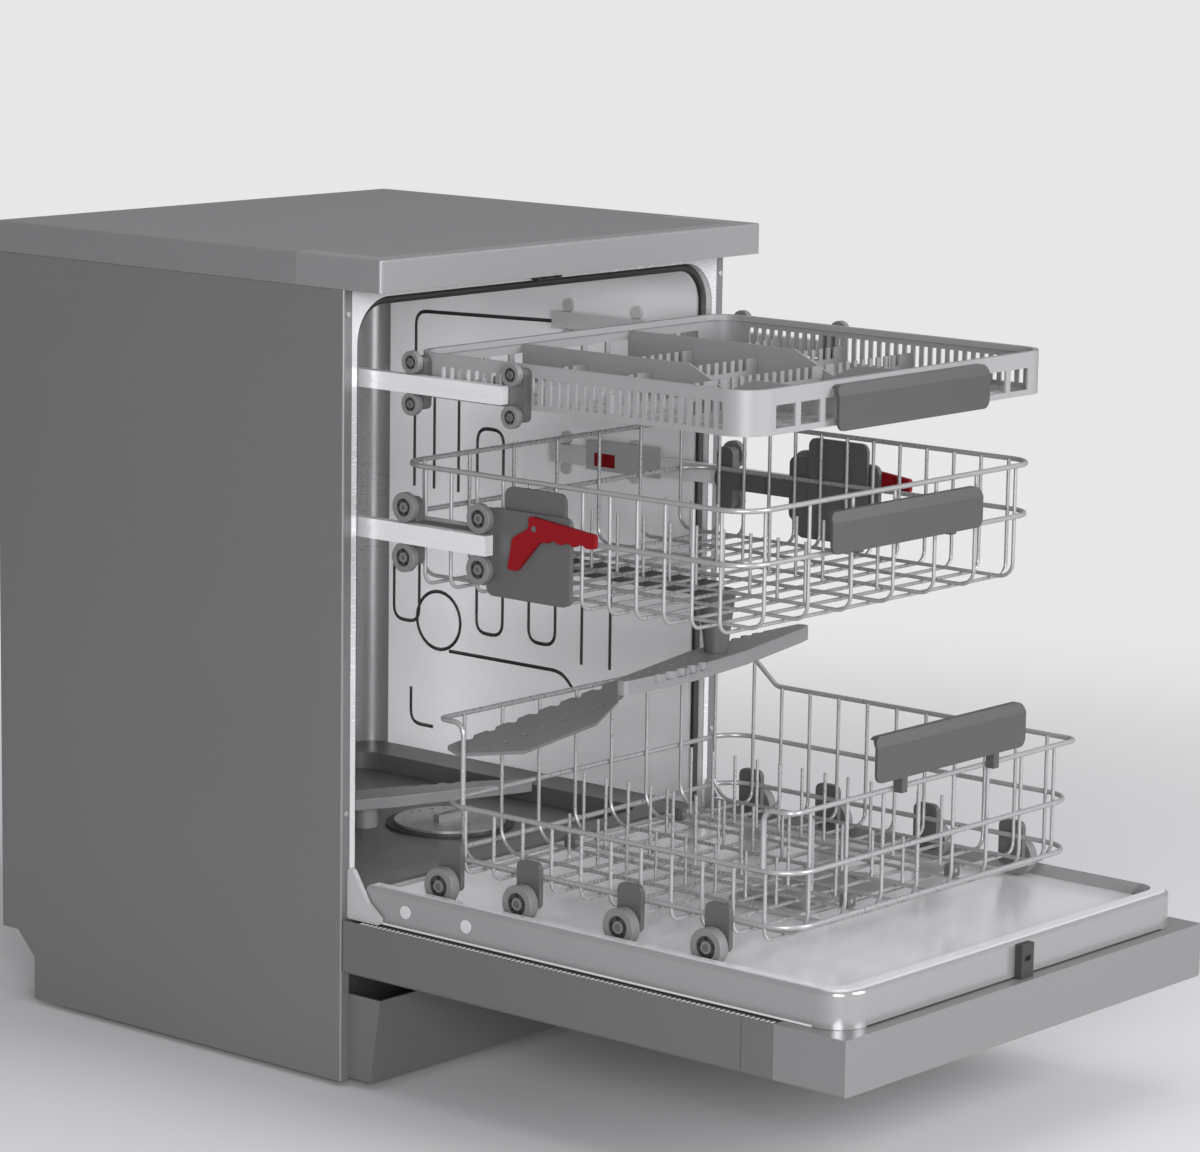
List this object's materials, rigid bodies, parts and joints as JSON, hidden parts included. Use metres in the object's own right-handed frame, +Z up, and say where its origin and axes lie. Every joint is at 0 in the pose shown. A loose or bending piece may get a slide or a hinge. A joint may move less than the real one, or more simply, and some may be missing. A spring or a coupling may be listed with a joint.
{
  "type": "free-standing dishwasher",
  "caption": "Free-standing dishwasher with its door folded down and a cutlery tray, an upper basket and a lower rack that slide out on rollers.",
  "frame": {"origin": "floor level, under the middle of the whole part's outline with the door folded down", "axes": "+Z up, +Y from the door towards the back, +X to the right seen from the front"},
  "size_m": [0.598, 1.153, 0.85],
  "materials": {
    "worktop": "grey laminate board",
    "worktop_trim": "satin grey edge trim",
    "side_panel": "dark grey metallic paint",
    "rear_panel": "plain zinc sheet",
    "base_plastic": "black moulding",
    "plinth": "grey metallic paint",
    "tub_steel": "bright rolled steel",
    "floor_plastic": "grey moulding",
    "filter": "perforated mesh",
    "frame_steel": "bright folded steel",
    "gasket": "black seal",
    "salt_cap": "dark grey moulding",
    "black_plastic": "black moulding",
    "pump_plastic": "dark moulding",
    "feed_plastic": "grey moulding",
    "rail_guide": "pale nylon",
    "arm_plastic": "grey moulding",
    "door_skin": "silver paint",
    "fascia": "silver paint",
    "button": "dark grey",
    "liner_steel": "polished steel",
    "dispenser": "grey moulding",
    "dispenser_lid": "grey moulding",
    "hinge_cover": "light grey moulding",
    "tray_plastic": "light grey moulding",
    "handle": "dark grey moulding",
    "carrier": "dark grey moulding",
    "rail": "pale drawn steel",
    "wire": "silver-grey nylon-coated steel wire",
    "fitting": "dark grey moulding",
    "lever": "red moulding",
    "roller": "grey nylon",
    "wheel": "grey nylon"
  },
  "bodies": {
    "cabinet": {"worktop_board": "worktop", "worktop_trim": "worktop_trim", "side_panel_left": "side_panel", "side_panel_right": "side_panel", "rear_panel": "rear_panel", "base_tray": "base_plastic", "feet": "base_plastic", "plinth": "plinth", "tub_wrap": "tub_steel", "tub_back": "tub_steel", "tub_floor": "floor_plastic", "sump": "base_plastic", "filter": "filter", "salt_cap": "salt_cap", "front_frame": "frame_steel", "door_gasket": "gasket", "door_striker": "black_plastic", "pumps": "pump_plastic", "feed_pipe": "feed_plastic", "rail_guides": "rail_guide", "door_outer_panel": "door_skin", "control_fascia": "fascia", "door_liner": "liner_steel", "dispenser_body": "dispenser", "door_latch": "black_plastic", "hinge_covers": "hinge_cover"},
    "tray": {"tray_body": "tray_plastic", "tray_handle": "handle", "tray_carriers": "carrier"},
    "tray_rails": {"tray_rails": "rail"},
    "basket_carriage": {"basket_carriers": "carrier"},
    "basket": {"basket_wires": "wire", "basket_handle": "handle", "basket_fittings": "fitting"},
    "basket_rails": {"basket_rails": "rail"},
    "lever_left": {"lever_left": "lever"},
    "lever_right": {"lever_right": "lever"},
    "arm_lower": {"spray_arm_lower": "arm_plastic"},
    "arm_middle": {"spray_arm_middle": "arm_plastic"},
    "arm_top": {"spray_arm_top": "arm_plastic"},
    "rack": {"rack_wires": "wire", "rack_handle": "handle", "rack_fittings": "fitting"},
    "tines_left": {"tine_row_left": "wire"},
    "tines_right": {"tine_row_right": "wire"},
    "dispenser_lid": {"dispenser_lid": "dispenser_lid"},
    "button_power": {"button_power": "button"},
    "button_start": {"button_start": "button"},
    "tray_roller_rear_top": {"tray_roller_rear_top": "roller"},
    "tray_roller_rear_low": {"tray_roller_rear_low": "roller"},
    "tray_roller_front_top": {"tray_roller_front_top": "roller"},
    "tray_roller_front_low": {"tray_roller_front_low": "roller"},
    "basket_roller_rear_top": {"basket_roller_rear_top": "roller"},
    "basket_roller_rear_low": {"basket_roller_rear_low": "roller"},
    "basket_roller_front_top": {"basket_roller_front_top": "roller"},
    "basket_roller_front_low": {"basket_roller_front_low": "roller"},
    "rack_wheels_1": {"rack_wheels_1": "wheel"},
    "rack_wheels_2": {"rack_wheels_2": "wheel"},
    "rack_wheels_3": {"rack_wheels_3": "wheel"},
    "rack_wheels_4": {"rack_wheels_4": "wheel"}
  },
  "joints": [
    {"name": "tray_slide", "type": "slide", "parent": "cabinet", "child": "tray", "axis": [0, 1, 0], "range_m": [0, 0.5]},
    {"name": "tray_rail_slide", "type": "slide", "parent": "cabinet", "child": "tray_rails", "axis": [0, 1, 0], "range_m": [0, 0.26]},
    {"name": "basket_slide", "type": "slide", "parent": "cabinet", "child": "basket_carriage", "axis": [0, 1, 0], "range_m": [0, 0.495]},
    {"name": "basket_rail_slide", "type": "slide", "parent": "cabinet", "child": "basket_rails", "axis": [0, 1, 0], "range_m": [0, 0.26]},
    {"name": "basket_lift", "type": "slide", "parent": "basket_carriage", "child": "basket", "axis": [0, 0, 1], "range_m": [-0.04, 0]},
    {"name": "lever_left_squeeze", "type": "hinge", "parent": "basket_carriage", "child": "lever_left", "pos_m": [-0.254, -0.1495, 0.598], "axis": [-1, 0, 0], "range_deg": [0, 22], "stiffness_Nm_per_rad": 0.4},
    {"name": "lever_right_squeeze", "type": "hinge", "parent": "basket_carriage", "child": "lever_right", "pos_m": [0.254, -0.1495, 0.598], "axis": [-1, 0, 0], "range_deg": [0, 22], "stiffness_Nm_per_rad": 0.4},
    {"name": "arm_lower_spin", "type": "hinge", "parent": "cabinet", "child": "arm_lower", "pos_m": [0, 0.3165, 0.206], "axis": [0, 0, 1], "continuous": true},
    {"name": "arm_middle_spin", "type": "hinge", "parent": "basket", "child": "arm_middle", "pos_m": [0, -0.1735, 0.43], "axis": [0, 0, 1], "continuous": true},
    {"name": "arm_top_spin", "type": "hinge", "parent": "cabinet", "child": "arm_top", "pos_m": [0, 0.3165, 0.764], "axis": [0, 0, 1], "continuous": true},
    {"name": "rack_slide", "type": "slide", "parent": "cabinet", "child": "rack", "axis": [0, 1, 0], "range_m": [0, 0.555]},
    {"name": "tines_left_fold", "type": "hinge", "parent": "rack", "child": "tines_left", "pos_m": [-0.08657, -0.2365, 0.2423], "axis": [0, 1, 0], "range_deg": [0, 84]},
    {"name": "tines_right_fold", "type": "hinge", "parent": "rack", "child": "tines_right", "pos_m": [0.08657, -0.2365, 0.2423], "axis": [0, 1, 0], "range_deg": [0, 84]},
    {"name": "dispenser_lid_slide", "type": "slide", "parent": "cabinet", "child": "dispenser_lid", "axis": [1, 0, 0], "range_m": [0, 0.06]},
    {"name": "button_power_press", "type": "slide", "parent": "cabinet", "child": "button_power", "axis": [0, 0, 1], "range_m": [0, 0.0015], "stiffness_N_per_m": 700},
    {"name": "button_start_press", "type": "slide", "parent": "cabinet", "child": "button_start", "axis": [0, 0, 1], "range_m": [0, 0.0015], "stiffness_N_per_m": 700},
    {"name": "tray_roller_rear_top_turn", "type": "hinge", "parent": "tray", "child": "tray_roller_rear_top", "pos_m": [0, 0.0085, 0.7473], "axis": [1, 0, 0], "range_deg": [-1300, 1300]},
    {"name": "tray_roller_rear_low_turn", "type": "hinge", "parent": "tray", "child": "tray_roller_rear_low", "pos_m": [0, 0.0085, 0.7057], "axis": [1, 0, 0], "range_deg": [-1300, 1300]},
    {"name": "tray_roller_front_top_turn", "type": "hinge", "parent": "tray", "child": "tray_roller_front_top", "pos_m": [0, -0.1235, 0.7473], "axis": [1, 0, 0], "range_deg": [-1300, 1300]},
    {"name": "tray_roller_front_low_turn", "type": "hinge", "parent": "tray", "child": "tray_roller_front_low", "pos_m": [0, -0.1235, 0.7057], "axis": [1, 0, 0], "range_deg": [-1300, 1300]},
    {"name": "basket_roller_rear_top_turn", "type": "hinge", "parent": "basket_carriage", "child": "basket_roller_rear_top", "pos_m": [0, 0.0165, 0.6013], "axis": [1, 0, 0], "range_deg": [-1300, 1300]},
    {"name": "basket_roller_rear_low_turn", "type": "hinge", "parent": "basket_carriage", "child": "basket_roller_rear_low", "pos_m": [0, 0.0165, 0.5507], "axis": [1, 0, 0], "range_deg": [-1300, 1300]},
    {"name": "basket_roller_front_top_turn", "type": "hinge", "parent": "basket_carriage", "child": "basket_roller_front_top", "pos_m": [0, -0.0835, 0.6013], "axis": [1, 0, 0], "range_deg": [-1300, 1300]},
    {"name": "basket_roller_front_low_turn", "type": "hinge", "parent": "basket_carriage", "child": "basket_roller_front_low", "pos_m": [0, -0.0835, 0.5507], "axis": [1, 0, 0], "range_deg": [-1300, 1300]},
    {"name": "rack_wheels_1_turn", "type": "hinge", "parent": "rack", "child": "rack_wheels_1", "pos_m": [0, -0.0325, 0.2213], "axis": [1, 0, 0], "range_deg": [-1750, 1750]},
    {"name": "rack_wheels_2_turn", "type": "hinge", "parent": "rack", "child": "rack_wheels_2", "pos_m": [0, -0.1375, 0.2213], "axis": [1, 0, 0], "range_deg": [-1750, 1750]},
    {"name": "rack_wheels_3_turn", "type": "hinge", "parent": "rack", "child": "rack_wheels_3", "pos_m": [0, -0.2685, 0.2213], "axis": [1, 0, 0], "range_deg": [-1750, 1750]},
    {"name": "rack_wheels_4_turn", "type": "hinge", "parent": "rack", "child": "rack_wheels_4", "pos_m": [0, -0.3785, 0.2213], "axis": [1, 0, 0], "range_deg": [-1750, 1750]}
  ],
  "couplings": [
    {"joint": "tray_rail_slide", "follows": "tray_slide", "ratio": 0.5},
    {"joint": "basket_rail_slide", "follows": "basket_slide", "ratio": 0.5},
    {"joint": "tray_roller_rear_top_turn", "follows": "tray_slide", "rad_per_m": -43.478},
    {"joint": "tray_roller_rear_low_turn", "follows": "tray_slide", "rad_per_m": 43.478},
    {"joint": "tray_roller_front_top_turn", "follows": "tray_slide", "rad_per_m": -43.478},
    {"joint": "tray_roller_front_low_turn", "follows": "tray_slide", "rad_per_m": 43.478},
    {"joint": "basket_roller_rear_top_turn", "follows": "basket_slide", "rad_per_m": -33.333},
    {"joint": "basket_roller_rear_low_turn", "follows": "basket_slide", "rad_per_m": 33.333},
    {"joint": "basket_roller_front_top_turn", "follows": "basket_slide", "rad_per_m": -33.333},
    {"joint": "basket_roller_front_low_turn", "follows": "basket_slide", "rad_per_m": 33.333},
    {"joint": "rack_wheels_1_turn", "follows": "rack_slide", "rad_per_m": -52.632},
    {"joint": "rack_wheels_2_turn", "follows": "rack_slide", "rad_per_m": -52.632},
    {"joint": "rack_wheels_3_turn", "follows": "rack_slide", "rad_per_m": -52.632},
    {"joint": "rack_wheels_4_turn", "follows": "rack_slide", "rad_per_m": -52.632}
  ]
}
